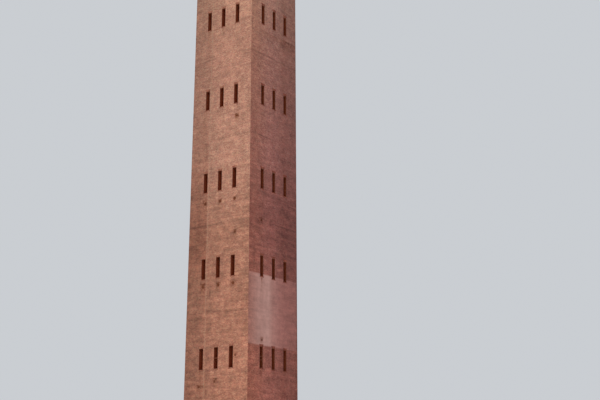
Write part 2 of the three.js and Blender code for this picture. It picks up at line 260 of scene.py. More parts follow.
def wall_axes():
    """The way a wall faces, the distance along it, the height, and a place on which courses are laid.
    Each face is shifted by whole bricks, so that no two match brick for brick."""
    normal = add("TexCoord", out="Normal")
    level = add("VectorMath CROSS_PRODUCT", (0, 0, 1), normal)
    along = add("VectorMath DOT_PRODUCT", position, level)
    height = add("SeparateXYZ", position, out="Z")
    shift = add("VectorMath DOT_PRODUCT", normal, (140 * STRETCHER, 330 * STRETCHER, 0))
    upright = add("CombineXYZ", add("Math", along, add("Math SNAP", shift, STRETCHER)), height)
    facing_up = add("Math ABSOLUTE", add("SeparateXYZ", normal, out="Z"))
    laid = add("Mix VECTOR", add("Math GREATER_THAN", facing_up, 0.7), upright, position)
    return normal, along, height, laid


# Materials. Each pattern's scale is worked out from a size on the real tower. A brick pattern takes its
# place, the two greys between which its bricks vary, the grey of its joints, a scale, half the width of a
# joint, how soft its edge is, a bias, and the width and height of a brick.
BLACK = (0, 0, 0, 1)
WHITE = (1, 1, 1, 1)


def begin(name):
    """Begins a material, to which nodes then go. Its patterns lie by their position on the object."""
    global material, position
    material = bpy.data.materials.new(name)
    material.use_nodes = True
    position = add("TexCoord", out="Object")


def surfaced(colour, roughness, relief, strength, depth, specular=0.25, metallic=0):
    """Gives the material its colour, roughness, relief and shine, and gives it back."""
    bump = add("Bump", strength, depth)
    feed(bump.node.inputs["Height"], relief)
    for name, value in {
        "Base Color": colour, "Roughness": roughness, "Normal": bump,
        "Specular IOR Level": specular, "Metallic": metallic,
    }.items():
        feed(material.node_tree.nodes["Principled BSDF"].inputs[name], value)
    return material


def weathered_brick():
    """Stock brick laid in English bond in lime mortar: each brick fired a little differently, the joints
    paler and set back, each season's brick its own shade, soot towards the two corners that the rain
    misses, and stains below the slits."""
    begin("weathered_stock_brick")
    normal, along, height, laid = wall_axes()
    sideways = add("SeparateXYZ", normal, out="X")
    on_right = add("Math GREATER_THAN", sideways, 0.9)
    on_front = add("Math LESS_THAN", sideways.node.outputs["Y"], -0.9)
    sideways = add("Math GREATER_THAN", add("Math ABSOLUTE", sideways), 0.75)

    # Old bricks have uneven edges: a wobble of about 3 mm on the real wall.
    wobble = add("TexNoise", position, wide(62.5), 2, out="Color")
    wobble = add("VectorMath SCALE", add("VectorMath SUBTRACT", wobble, (0.5, 0.5, 0.5)), 9 * MM)
    wobbly = add("VectorMath", laid, wobble)
    brick = add(
        "TexBrick", wobbly, BLACK, WHITE, (0.5, 0.5, 0.5, 1), 1, MORTAR_JOINT / 2, 0.35, 0,
        STRETCHER, COURSE, squash=0.5)
    joint = brick.node.outputs["Fac"]
    fired = add("ValToRGB", brick, ramp=[
        (0, "#8f5b4b"), (0.2, "#986352"), (0.45, "#a66d59"), (0.7, "#af775f"), (0.88, "#a9795f"),
        (1, "#b6876d"),
    ])
    mortar = add("TexNoise", position, wide(333), 4)
    mortar = add("ValToRGB", mortar, ramp=[(0.3, "#8e7665"), (0.7, "#b5a08a")])
    clean = add("Mix RGBA", joint, fired, mortar)

    # Each season's delivery of brick has its own tint, and the sides are tinted redder as painted shade.
    season = add("Math MULTIPLY_ADD", add("TexNoise", position, wide(3333), 2), 0.16, height)
    season = add("MapRange", season, 0.08, 8.08)
    front_season = add("ValToRGB", season, ramp=FRONT_SEASONS)
    season = add("Mix RGBA", sideways, front_season, add("ValToRGB", season, ramp=SIDE_SEASONS_AND_SHADE))
    wall = tinted(clean, season)
    warmth = add("ValToRGB", add("MapRange", along, -0.4, 0.36), ramp=RIGHT_TINTS)
    wall = add("Mix RGBA", on_right, wall, tinted(wall, warmth))

    # Beds: courses differ in streaks a few metres long.
    bed_place = stretched(laid, 4000, 385, 10000)
    beds = add("MapRange", add("TexNoise", bed_place, 1, 5, 0.6), 0.3, 0.7, -1, 1)
    beds = add("Math MULTIPLY_ADD", beds, add("MapRange", height, 3.2, 3.9, 0.22, 0.12), 1)
    # Mottle: patches the size of a few bricks.
    mottle = add("MapRange", add("TexNoise", laid, wide(833), 3, 0.65), 0.3, 0.7, -1, 1)
    mottle = add("Math MULTIPLY_ADD", mottle, add("MapRange", height, 3.1, 3.9, 0.26, 0.2), 1)
    # Clouds: broad stains, metres across.
    clouds = add("MapRange", add("TexNoise", position, wide(4545), 3, 0.55), 0.3, 0.7, 0.9, 1.1)

    # Rain washes the front right and the back left corners, and soot stays towards the other two.
    across = add("Math ABSOLUTE", add("VectorMath DOT_PRODUCT", position, (0.5, -0.5, 0)))
    washed = add("MapRange", across, 0, 0.28, 0.73, 1.04, interpolation_type="SMOOTHSTEP")
    weather = product(beds, mottle, clouds, washed)

    # Half way up, the front keeps more of its soot beyond the lightning conductor.
    beyond = add("MapRange", along, CONDUCTOR - 0.012, CONDUCTOR - 0.024)
    above = add("MapRange", height, 2.2, 2.6, 0.15, 1)
    sooty = product(beyond, on_front, above, add("MapRange", height, 3.3, 4.3, 1, 0))
    wall = add("Mix RGBA", sooty, wall, tinted(wall, "#b1a8a5"))

    # Lift joints: a dark, broken line half way between the rows of slits.
    storey = add("Math FLOORED_MODULO", add("Math SUBTRACT", height, SLIT_ROW), STOREY)
    broken = add("MapRange", add("TexNoise", bed_place, 0.9, 2), 0.42, 0.62, 0, 0.34)
    below_gallery = add("Math LESS_THAN", height, SHAFT_TOP)
    tone = darkened(weather, product(near(storey, STOREY / 2, 0.006, 0.01), broken, below_gallery))

    # Every slit weeps a little, and a few have wept a lot.
    slit_foot = STOREY - SLIT_HALF_HEIGHT
    weeping = add("MapRange", storey, slit_foot - 0.16, slit_foot)
    under_slit = add("Math LESS_THAN", storey, slit_foot)
    beside_slit = near(add("Math PINGPONG", along, SLIT_PITCH), 0, 0.012, 0.016)
    tone = darkened(tone, product(weeping, under_slit, beside_slit, below_gallery), 0.18)
    patches = add("MapRange", add("TexNoise", laid, wide(294), 2), 0.38, 0.6, 0.35, 1)
    front = product(run_off(along, height, FRONT_STAINS), on_front)
    right = product(run_off(along, height, RIGHT_STAINS), on_right)
    stained = product(add("Math MAXIMUM", front, right), patches)

    # Under the gallery and up into its corbel table the brick is darkened, partly as soot and partly as
    # painted shade under the overhang, and splashes of mud darken it above the plinth.
    soot_and_shade_below_gallery = add("MapRange", height, SHAFT_TOP - 0.25, SHAFT_TOP + 0.1, 0, 0.25)
    soot_and_shade_below_gallery = product(soot_and_shade_below_gallery, add("MapRange", height, SHAFT_TOP + 0.28, SHAFT_TOP + 0.2))
    tone = darkened(darkened(tone, soot_and_shade_below_gallery), add("MapRange", height, 0.32, 0.1, 0, 0.28))

    # A pale streak of lime runs down beside the lightning conductor.
    limed = product(near(along, CONDUCTOR, 0.007, 0.012), on_front)
    tone = darkened(tone, product(limed, add("MapRange", height, 4.6, 2.2)), -0.16)
    wall = add("VectorMath SCALE", wall, tone)

    # Between two rows of slits on the right, lime salts have bloomed on the brick.
    bloomed = product(near(along, -0.028, 0.42, 0.012), near(height, 2.018, 0.36, 0.018), on_right)
    cover = add("ValToRGB", add("MapRange", along, -0.5, 0.5), ramp=SALTS)
    patchy = add("MapRange", mottle, 0.79, 1.21, 0.9, 1.06)
    streaks = add("TexNoise", stretched(laid, 833, 5000, 10000), 1, 3)
    streaks = add("MapRange", streaks, 0.35, 0.65, 0.94, 1.06)
    evened = add("Math MULTIPLY_ADD", weather, 0.3, 0.68)
    salts = add("Mix RGBA", add("MapRange", along, -0.08, 0.14), "#d5a195", "#d8948a")
    salts = add("VectorMath SCALE", salts, product(evened, streaks))
    wall = add("Mix RGBA", product(bloomed, cover, patchy), wall, salts)

    # Rust stains take most from the blue, and least from the red.
    rust = add("VectorMath MULTIPLY_ADD", stained, (-1, -1.3, -1.5), (1, 1, 1))
    wall = add("VectorMath MULTIPLY", wall, rust)

    # Inside the slits and the well the brick is painted a dark red brown, as painted shade in these
    # recesses, but not in the doorway.
    outward = add("SeparateXYZ", add("VectorMath ABSOLUTE", position), out="X")
    outward = add("Math MAXIMUM", outward, outward.node.outputs["Y"])
    depth = add("Math SUBTRACT", add("Math MULTIPLY_ADD", height, -LEAN, FOOT_HALF), outward)
    inside = product(add("MapRange", depth, 0.001, 0.01, 0, 0.97), below_gallery)
    inside = product(inside, add("MapRange", height, 0.4, 0.42))
    wall = add("Mix RGBA", inside, wall, add("VectorMath MULTIPLY", clean, (0.8, 0.36, 0.17)))

    # The grain is drawn 24 mm wide, coarser than it is, so that it shows.
    grain = add("TexNoise", position, wide(24), 3)
    relief = add("Math MULTIPLY_ADD", grain, 0.45, add("Math MULTIPLY_ADD", joint, -1, 1))
    return surfaced(wall, 0.9, add("Math MULTIPLY_ADD", brick, 0.3, relief), 0.6, 6 * MM)


def rubbed_brick():
    """Soft red brick rubbed to shape for arches and sills: fine grained, and each one its own red. Its
    grain is drawn 17 mm wide, so that it shows."""
    begin("rubbed_red_brick")
    own = add("NewGeometry", out="Random Per Island")
    colour = add("ValToRGB", own, ramp=[
        (0, "#854a39"), (0.35, "#965a47"), (0.7, "#a0664f"), (1, "#ac765d"),
    ])
    tone = add("MapRange", add("TexNoise", position, wide(556), 5, 0.7), 0.3, 0.7, 0.76, 1.08)
    colour = add("VectorMath SCALE", colour, tone)
    # Faces that look to either side are tinted darker and redder: painted shade.
    sideways = add("Math ABSOLUTE", add("SeparateXYZ", add("TexCoord", out="Normal"), out="X"))
    colour = add("Mix RGBA", sideways, colour, tinted(colour, "#b79a9a"))
    return surfaced(colour, 0.85, add("TexNoise", position, wide(17), 3), 0.35, 4 * MM)


def lime_mortar():
    """Lime mortar, set back between the dressings: pale, gritty and stained. The grit is drawn 11 mm
    wide, so that it shows."""
    begin("lime_mortar")
    stain = add("TexNoise", position, wide(333), 4)
    colour = add("ValToRGB", stain, ramp=[(0.3, "#7f6857"), (0.7, "#a58f79")])
    return surfaced(colour, 0.95, add("TexNoise", position, wide(11), 2), 0.5, 3 * MM)


def dressed_sandstone(name, blocks):
    """Tooled sandstone, buff where rain washes it and sooty elsewhere. Where the stones aren't separate
    pieces, courses of blocks with fine joints are drawn on it."""
    begin(name)
    *_, height, laid = wall_axes()
    if blocks:
        own = add(
            "TexBrick", laid, BLACK, WHITE, (0.3, 0.3, 0.3, 1), 1, 3 * MM, 0.2, 0,
            650 * MM, 275 * MM)
        joint = own.node.outputs["Fac"]
    else:
        own = add("NewGeometry", out="Random Per Island")
        joint = 0
    mixed = add("Math MULTIPLY_ADD", own, 0.35, add("TexNoise", position, wide(714), 5, 0.7))
    colour = add("ValToRGB", mixed, ramp=[
        (0.35, "#6f665b"), (0.55, "#8e8475"), (0.72, "#a29788"), (0.9, "#b3a999"),
    ])

    # Rain runs down the stone in streaks, and moss greens the ledges near the ground.
    streaks = add("TexNoise", stretched(position, 111, 111, 1111), 1, 3)
    colour = add("VectorMath SCALE", colour, add("MapRange", streaks, 0.35, 0.65, 0.84, 1.08))
    moss = add("MapRange", add("TexNoise", position, wide(167), 4, 0.7), 0.54, 0.7, 0, 0.55)
    colour = add("Mix RGBA", product(moss, add("MapRange", height, 0.13, 0.02)), colour, "#5f6050")
    colour = add("Mix RGBA", joint, colour, "#6b6156")

    # The chisel's strokes are drawn 20 mm apart, and the grain 33 mm wide, so that they show. A wave
    # pattern of scale 1 has its bands a twentieth of a whole turn apart.
    stroke = wide(20) * math.tau / 20
    tooling = add("TexWave", laid, stroke, 2, 2, bands_direction="DIAGONAL")
    relief = add("Math MULTIPLY_ADD", tooling, 0.3, add("TexNoise", position, wide(33), 4))
    relief = add("Math MULTIPLY_ADD", joint, -1, relief)
    return surfaced(colour, 0.85, relief, 0.45, 5 * MM, specular=0.3)


def worn_flags():
    """Riven stone flags 0.9 by 0.6 m, worn smooth and grey brown, with dirt in their joints."""
    begin("worn_stone_flags")
    *_, laid = wall_axes()
    flag = add("TexBrick", laid, BLACK, WHITE, (0.2, 0.2, 0.2, 1), 1, 6 * MM, 0.2, 0, 900 * MM, 600 * MM)
    joint = flag.node.outputs["Fac"]
    wear = add("TexNoise", position, wide(833), 5, 0.7)
    mixed = add("Math MULTIPLY_ADD", flag, 0.3, wear)
    colour = add("ValToRGB", mixed, ramp=[(0.35, "#6c6458"), (0.6, "#8a8172"), (0.85, "#a0988a")])
    colour = add("Mix RGBA", joint, colour, "#4b453c")
    relief = add("Math MULTIPLY_ADD", joint, -1, add("TexNoise", position, wide(111), 5))
    roughness = add("MapRange", wear, 0.3, 0.7, 0.62, 0.86)
    return surfaced(colour, roughness, relief, 0.5, 7 * MM, specular=0.35)


def painted_boards():
    """Softwood boards under dark green oil paint: grain, drawn 14 mm wide so that it shows, stands through
    the paint, which has flaked near the sill."""
    begin("oil_painted_boards")
    own = add("NewGeometry", out="Random Per Island")
    grain = add("TexNoise", stretched(position, 14, 14, 455), 1, 4)
    mixed = add("Math MULTIPLY_ADD", own, 0.3, grain)
    paint = add("ValToRGB", mixed, ramp=[(0.3, "#25342b"), (0.9, "#3c4f42")])
    flaked = add("TexNoise", stretched(position, 24, 24, 48), 1, 4, 0.6)
    height = add("SeparateXYZ", position, out="Z")
    wear = add("MapRange", height, DOOR_SILL, DOOR_SILL + 0.08, 0.09, 0)
    flaked = add("MapRange", add("Math", flaked, wear), 0.69, 0.72, 0, 0.7)
    colour = add("Mix RGBA", flaked, paint, "#75695a")
    relief = add("Math MULTIPLY_ADD", flaked, -1, grain)
    roughness = add("MapRange", flaked, 0, 1, 0.42, 0.85)
    return surfaced(colour, roughness, relief, 0.3, 3 * MM, specular=0.45)


def milled_lead():
    """Milled lead sheet, weathered to a dull blue grey, with pale carbonate runs down its slopes."""
    begin("milled_lead_sheet")
    patina = add("TexNoise", position, wide(625), 6, 0.65)
    colour = add("ValToRGB", patina, ramp=[(0.3, "#5c6368"), (0.5, "#767d81"), (0.7, "#8f9697")])
    runs = add("TexNoise", stretched(position, 91, 91, 1429), 1, 4)
    colour = add("Mix RGBA", add("MapRange", runs, 0.52, 0.72, 0, 0.55), colour, "#aab0ae")
    dents = add("TexNoise", position, wide(222), 3)
    roughness = add("MapRange", patina, 0.3, 0.7, 0.48, 0.68)
    return surfaced(colour, roughness, dents, 0.35, 12 * MM, specular=0.5, metallic=0.55)


def rusted_iron(name, paint, rust, share, shine):
    """Wrought or cast iron under scaly dark paint, broken by rust. The more rust, the less it shines."""
    begin(name)
    scale = add("TexNoise", position, wide(71), 5, 0.7)
    rusty = add("MapRange", scale, 0.62 - share, 0.68 - share)
    tone = add("MapRange", add("TexNoise", position, wide(250), 3), 0.3, 0.7, 0.75, 1.25)
    colour = add("VectorMath SCALE", add("Mix RGBA", rusty, paint, rust), tone)
    roughness = add("MapRange", rusty, 0, 1, 0.9 - shine, 0.92)
    return surfaced(colour, roughness, scale, 0.4, 3 * MM, specular=shine, metallic=shine)


def weathered_copper():
    """Copper tape gone a pale, dusty brown with a little green."""
    begin("weathered_copper_tape")
    bloom = add("TexNoise", position, wide(200), 4)
    colour = add("ValToRGB", bloom, ramp=[(0.3, "#8d6a55"), (0.55, "#a27c64"), (0.75, "#968a70")])
    return surfaced(colour, 0.6, bloom, 0.2, 3 * MM, specular=0.4, metallic=0.3)


brick = weathered_brick()
red_brick = rubbed_brick()
mortar = lime_mortar()
coursed_stone = dressed_sandstone("coursed_sandstone", True)
cut_stone = dressed_sandstone("cut_sandstone", False)
flags = worn_flags()
boards = painted_boards()
lead = milled_lead()
black_iron = rusted_iron("blackened_wrought_iron", "#262423", "#5a3a28", 0.02, 0.4)
cast_iron = rusted_iron("rusted_cast_iron", "#623424", "#7c4830", 0.14, 0.1)
copper = weathered_copper()

# The finishes of each slot, of which the first is also the solids' own
finishes = {
    "brickwork": [brick, red_brick, mortar],
    "dressed_stone": [coursed_stone, cut_stone],
    "floor_slab": [flags],
    "door_timber": [boards],
    "lead_sheet": [lead],
    "wrought_iron": [black_iron, cast_iron, copper],
}
for part in frame["record"]["subparts"]:
    node = frame["nodes"][part["node"]]
    node.data.materials.clear()
    node.data.materials.append(finishes[part["material_slot"]][0])


# Modelling. What is picked, moved, resized, extruded or cut belongs to the active piece, the last one made.
# A cylinder or a ring turned so has its axis across the wall.
ACROSS_WALL = (math.radians(90), 0, 0)


def editing(on):
    """Goes in or out of edit mode."""
    if on != (bpy.context.mode == "EDIT_MESH"):
        bpy.ops.object.mode_set(mode="EDIT" if on else "OBJECT")


def pick(test=lambda at, way: True, kind="VERT"):
    """Selects all, or what passes a test of where its middle is and which way it faces or runs."""
    editing(True)
    bpy.ops.mesh.select_mode(type=kind)
    piece = bpy.context.active_object.data
    mesh = bmesh.from_edit_mesh(piece)
    mesh.normal_update()
    for element in {"VERT": mesh.verts, "EDGE": mesh.edges, "FACE": mesh.faces}[kind]:
        points = [vertex.co for vertex in getattr(element, "verts", [element])]
        at = sum(points, Vector()) / len(points)
        way = (points[1] - points[0]).normalized() if kind == "EDGE" else element.normal
        element.select_set(test(at, way))
    mesh.select_flush_mode()
    bmesh.update_edit_mesh(piece)


def outward(at, way):
    """Whether a face looks out of the front."""
    return way.y < -0.9


def moved(x, y, z):
    bpy.ops.transform.translate(value=(x, y, z))


def resized(x, y, z, about=(0, 0, 0)):
    bpy.ops.transform.resize(value=(x, y, z), center_override=about)


def extruded(x, y, z):
    bpy.ops.mesh.extrude_region_move(TRANSFORM_OT_translate={"value": (x, y, z)})


def inset(thickness, **settings):
    bpy.ops.mesh.inset(thickness=thickness, **settings)


def stepped(*steps):
    """Steps the front face in by a margin, and back or out, time after time."""
    pick(outward, "FACE")
    for margin, back in steps:
        inset(margin)
        extruded(0, back, 0)


def cut(place, normal, **settings):
    """Cuts a piece all the way through along a plane."""
    pick()
    bpy.ops.mesh.bisect(plane_co=place, plane_no=normal, **settings)


def healed():
    """Joins up the points that touch, and turns all faces out."""
    pick()
    bpy.ops.mesh.remove_doubles(threshold=1e-6)
    bpy.ops.mesh.normals_make_consistent(inside=False)
    editing(False)


def smoothed(angle):
    """Shades a piece smooth, but for edges sharper than an angle in degrees."""
    editing(False)
    bpy.ops.object.shade_smooth_by_angle(angle=math.radians(angle))


def primitive(kind, **settings):
    """A plain solid at its size and place, to be shaped further."""
    editing(False)
    bpy.ops.object.select_all(action="DESELECT")
    kind(**settings)
    bpy.ops.object.transform_apply(location=True, rotation=True, scale=True)
    return bpy.context.active_object


def block(low, high):
    """A plain block between two corners."""
    size = [b - a for a, b in zip(low, high)]
    centre = [(a + b) / 2 for a, b in zip(low, high)]
    return primitive(bpy.ops.mesh.primitive_cube_add, size=1, location=centre, scale=size)


def slab(half, front, back, low, high):
    """A plain block that reaches as far to the left as to the right."""
    return block((-half, front, low), (half, back, high))


def modified(piece, kind, **settings):
    """A piece with a modifier applied."""
    editing(False)
    bpy.context.view_layer.objects.active = piece
    modifier = piece.modifiers.new("shape", kind)
    for name, value in settings.items():
        setattr(modifier, name, value)
    bpy.ops.object.modifier_apply(modifier=modifier.name)
    return piece


def worn(piece, arris=BRICK_ARRIS, segments=1):
    """A piece with its sharp edges taken off."""
    return modified(piece, "BEVEL", width=arris, segments=segments, limit_method="ANGLE")


def joined(pieces):
    """Several pieces as one."""
    editing(False)
    bpy.ops.object.select_all(action="DESELECT")
    for piece in pieces:
        piece.select_set(True)
    bpy.context.view_layer.objects.active = pieces[0]
    if len(pieces) > 1:
        bpy.ops.object.join()
    return pieces[0]


def repeated(piece, places):
    """A copy of a piece, with its own mesh, at each place, joined up. The piece itself goes."""
    editing(False)
    made = []
    for place in places:
        twin = piece.copy()
        twin.data = piece.data.copy()
        twin.data.transform(place)
        bpy.context.collection.objects.link(twin)
        made.append(twin)
    bpy.data.objects.remove(piece)
    return joined(made)


def mirrored(piece):
    """A piece with its mirror image beside it, and all its faces pointing out."""
    pair = repeated(piece, [Matrix(), Matrix.Scale(-1, 4, (1, 0, 0))])
    healed()
    return pair


def dressed(name, finish, *pieces):
    """Joins pieces under a name, gives them their finish and lets them ride with the tower."""
    piece = joined(pieces)
    piece.name = name
    piece.data.name = name
    piece.data.materials.clear()
    piece.data.materials.append(finish)
    slot = next(slot for slot, made in finishes.items() if finish in made)
    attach(piece, "root")


def shifted(x, y=0, z=0):
    return Matrix.Translation((x, y, z))


def turned(turn, sides=4):
    """A turn about the tower's axis by a number of its sides."""
    return Matrix.Rotation(turn * math.tau / sides, 4, "Z")


def around(places=(Matrix(),), sides=4):
    """Places on the front, and again on each of the other sides."""
    return [turned(turn, sides) @ place for turn in range(sides) for place in places]


def on_wall(x, z, half=None):
    """A place on the front for a piece made at the origin: leaning with the shaft, or upright where half
    the wall's width is given."""
    if half is None:
        return shifted(x, -shaft_half(z), z) @ Matrix.Rotation(-math.atan(LEAN), 4, "X")
    return shifted(x, -half, z)


def slit_places(rise):
    """Places a rise above the middle of every slit, on the shaft and on the turret."""
    places = []
    for x in (-SLIT_PITCH, 0, SLIT_PITCH):
        places += [on_wall(x, SLIT_ROW + row * STOREY + rise) for row in range(SLIT_ROWS)]
        places.append(on_wall(x, TURRET_ROW + rise, TURRET.wall))
    return around(places)


# Slits
def brick_row(count, pitch, gap, proud, low, high):
    """Bricks side by side, facing -Y, with gaps for mortar."""
    lefts = [(i - count / 2) * pitch for i in range(count)]
    return joined([block((left + gap, -proud, low), (left + pitch - gap, ROOT, high)) for left in lefts])


def flat_arch():
    """Eight rubbed bricks on end over a slit, spread about their feet as a flat arch."""
    arch = brick_row(8, SLIT_WIDTH / 8, 0.0003, 0.0008, 0.0003, STRETCHER)
    pick(lambda at, way: at.z > STRETCHER / 2)
    resized(1.3, 1, 1)
    return worn(arch)


def brick_sill():
    """Nine bricks on edge under a slit, with their tops sloped to throw the rain off."""
    sill = brick_row(9, COURSE, 0.0004, 0.0018, -HEADER, -0.0003)
    pick(lambda at, way: at.y < 0 and at.z > -0.002)
    moved(0, 0, -0.0009)
    return worn(sill)


heads = slit_places(SLIT_HALF_HEIGHT)
feet = slit_places(-SLIT_HALF_HEIGHT)
dressed("slit_flat_arches", red_brick, repeated(flat_arch(), heads))
dressed("slit_sills", red_brick, repeated(brick_sill(), feet))
half = SLIT_WIDTH * 0.55
head_bed = worn(slab(half, -BEDDING, 0.002, 0.0002, STRETCHER - 0.0005), 0.0001)
half = COURSE * 4.4
sill_bed = worn(slab(half, -BEDDING, 0.002, -HEADER + 0.0004, -0.0006), 0.0001)
dressed("slit_mortar", mortar, repeated(head_bed, heads), repeated(sill_bed, feet))


# Small ironwork on the shaft
def air_brick():
    """A cast grating, one brick long and three courses high, with sixteen square holes."""
    half = STRETCHER / 2
    plate = slab(half, -0.001, ROOT, -half, half)
    pick(outward, "FACE")
    inset(0.0016)
    bpy.ops.mesh.subdivide(number_cuts=3)
    inset(0.0007, use_individual=True)
    extruded(0, 0.003, 0)
    return plate


def tie_plate():
    """The round plate at the end of a tie bar, with a raised rim, a boss and a square nut."""
    plate = primitive(
        bpy.ops.mesh.primitive_cylinder_add, vertices=20, radius=0.018, depth=0.002, rotation=ACROSS_WALL)
    stepped((0.0018, 0.0006), (0.0035, -0.001))
    nut = worn(slab(0.0024, -0.0028, 0, -0.0024, 0.0024), 0.0004)
    return joined([worn(plate, 0.0002), nut])


def facing(side, spots):
    """Spots on one side of the shaft, and again on the side across from it."""
    return [turned(turn) @ on_wall(x, z) for turn in (side, side + 2) for x, z in spots]


# The front is side 0 and the right is side 1.
AIR_BRICKS = [
    *facing(0, [(0.222, 4.11), (0.222, 2.825), (0.258, 1.54), (-0.22, 1.245), (-0.012, 1.29)]),
    *facing(1, [(-0.213, 2.96), (-0.193, 1.705)]),
]
TIE_PLATES = facing(0, [(x, z) for x in (-0.198, 0.01, 0.21) for z in (3.188, 2.284)])
dressed("air_bricks", cast_iron, repeated(air_brick(), AIR_BRICKS))
dressed("tie_plates", cast_iron, repeated(tie_plate(), TIE_PLATES))

# Flat iron bars across a slit of the front and one of the right
rail = worn(slab(SLIT_WIDTH / 2, 0.006, 0.018, -0.0045, 0.0045), 0.0008)
RAILS = [on_wall(0, 1.527), turned(1) @ on_wall(-0.2, 1.535), turned(1) @ on_wall(-0.2, 1.5)]
dressed("slit_rails", cast_iron, repeated(rail, RAILS))


# Bands round the tower
def band(inner, outer, low, high, slope=0, cove=0, sides=4, segments=3, profile=0.25):
    """A band round all sides, mitred at the corners, with a sloping top and a hollow under it."""
    reach = inner * math.tan(math.pi / sides)
    middle = -(inner + outer) / 2
    side = slab(reach, -outer, -inner, low, high)
    pick(lambda at, way: at.y < middle)
    resized(outer / inner, 1, 1)
    pick(lambda at, way: at.y < middle and at.z > (low + high) / 2)
    moved(0, 0, -slope)
    if cove:
        pick(lambda at, way: at.y < middle and at.z < low + 1e-5 and abs(way.x) > 0.9, "EDGE")
        bpy.ops.mesh.bevel(offset=cove, segments=segments, profile=profile, affect="EDGES")
    return repeated(side, around(sides=sides))


def head_string(head, count):
    """The string course under a corbel table: bricks set cornerwise between two projecting courses."""
    half = head.wall
    foot = head.foot
    upper = band(half - 0.004, half + 0.0075, foot - COURSE, foot - 0.0003, slope=0.001)
    lower = band(half - 0.004, half + 0.0055, foot - 3 * COURSE, foot - 2 * COURSE - 0.0003, cove=0.002)
    tooth = worn(slab(0.0055, -0.0055, 0.0055, foot - 2 * COURSE, foot - COURSE - 0.0006))
    pitch = 2 * half / count
    places = [shifted(pitch * (i + 0.5) - half, -half) @ turned(0.5) for i in range(count)]
    return joined([worn(upper), worn(lower), repeated(tooth, around(places))])


dressed("string_courses", red_brick, head_string(GALLERY, 52), head_string(TURRET, 38))


# Corbel tables
def half_ring(voussoir, count):
    """Voussoirs as a half ring round the origin, facing -Y."""
    turns = [(i + 0.5 - count / 2) * math.pi / count for i in range(count)]
    return repeated(voussoir, [Matrix.Rotation(turn, 4, "Y") for turn in turns])


def arch_ring(radius, count, proud=0.0012):
    """A half ring of bricks on edge."""
    half = (radius * math.pi / count - MORTAR_JOINT) / 2
    voussoir = slab(half, -proud, 0.004, radius + 0.0002, radius + HEADER)
    pick(lambda at, way: at.z > radius + HEADER / 2)
    resized(1 + HEADER / radius * 0.8, 1, 1)
    return half_ring(worn(voussoir), count)


def nosing(low, high, outer):
    """A block that caps a corbel step, with the lower edges beyond its face rounded."""
    made = block(low, high)
    middle = (low[2] + high[2]) / 2
    pick(lambda at, way: max(-at.y, at.x) > outer and at.z < middle and abs(way.z) < 0.1, "EDGE")
    bpy.ops.mesh.bevel(offset=0.006, segments=4, affect="EDGES")
    return worn(made)


def corbel_dressings(head):
    """Arch rings over the bays and rounded nosings on the corbel steps, on all four sides."""
    bays = [(bay - (head.bays - 1) / 2) * head.pitch for bay in range(head.bays)]
    rings = around([on_wall(x, head.foot + head.spring, head.face) for x in bays])
    between = around([shifted(x + head.pitch / 2) for x in bays[:-1]])
    yield repeated(arch_ring(head.bay_half, 11), rings)
    rise = (head.spring - head.first) / head.steps
    reach = (head.face - head.wall) / head.steps
    lip = 0.001
    half = head.pitch / 2 - head.bay_half + lip
    end = bays[-1] + head.bay_half - lip
    for step in range(head.steps):
        outer = head.wall + reach * (step + 1)
        low = head.foot + head.first + rise * step
        middle = nosing((-half, -outer - lip, low - lip), (half, -outer + 0.012, low + HEADER), outer)
        corner = nosing((end, -outer - lip, low - lip), (outer + lip, -end, low + HEADER), outer)
        yield repeated(middle, between)
        yield repeated(corner, around())


dressed("corbel_dressings", red_brick, *corbel_dressings(GALLERY), *corbel_dressings(TURRET))


# Parapets
def coping_stone(low, high, fall):
    """A coping between two corners: its top falls to both sides, and its arrises are worn."""
    stone = block(low, high)
    pick(lambda at, way: way.z > 0.9, "FACE")
    extruded(0, 0, fall)
    resized(1, 0.35, 1, (0, (low[1] + high[1]) / 2, 0))
    return worn(stone, 0.0007, 2)


def parapet_stones(head):
    """Copings on the merlons and corners, and sills in the crenels, on all four sides."""
    outer = head.face + 0.004
    inner = head.face - head.thickness - 0.004
    end = head.face - head.corner
    pitch = (2 * end - head.crenel) / (head.crenels - 1)
    crenels = [head.crenel / 2 - end + i * pitch for i in range(head.crenels)]
    half = (pitch - head.crenel) / 2 + 0.002
    stone = coping_stone((-half, -outer, head.top), (half, -inner, head.top + 0.006), 0.005)
    yield repeated(stone, around([shifted(x + pitch / 2) for x in crenels[:-1]]))
    half = head.crenel / 2 - 0.0005
    sill = head.floor + head.sill
    stone = coping_stone((-half, -outer, sill), (half, -inner, sill + 0.004), 0.002)
    yield repeated(stone, around([shifted(x) for x in crenels]))
    for hand in (-1, 1):
        left, right = sorted((hand * (end - 0.002), hand * outer))
        stone = coping_stone((left, -outer, head.top), (right, -inner, head.top + 0.006), 0.005)
        cut((-hand * BEDDING, 0, 0), (hand, 1, 0), use_fill=True, clear_outer=True)
        yield repeated(stone, around())


stones = [*parapet_stones(GALLERY), *parapet_stones(TURRET)]
for head in (GALLERY, TURRET):
    string = band(
        head.face - 0.004, head.face + head.proud + 0.0015, head.floor - 0.001, head.floor + 0.009,
        slope=0.003, cove=0.004)
    stones.append(worn(string, STRING_ARRIS))
dressed("parapet_stones", cut_stone, *stones)


# Lightning conductor
def tape(route, place):
    """A flat tape laid along a route of points in y and z, and then set in its place."""
    half = TAPE_WIDTH / 2
    ribbon = primitive(bpy.ops.mesh.primitive_plane_add, size=TAPE_WIDTH)
    pick(lambda at, way: at.y < 0)
    moved(0, route[0][0] + half, route[0][1])
    pick(lambda at, way: abs(at.y - half) < 1e-6 and abs(at.z) < 1e-6)
    moved(0, route[1][0] - half, route[1][1])
    for (y0, z0), (y1, z1) in zip(route[1:], route[2:]):
        extruded(0, y1 - y0, z1 - z0)
    modified(ribbon, "SOLIDIFY", thickness=TAPE_THICKNESS, offset=0, use_even_offset=True)
    ribbon.data.transform(place)
    return ribbon


def up(line, *heights):
    """Points of the tape's route at several heights, one above the other."""
    return [(line, height) for height in heights]


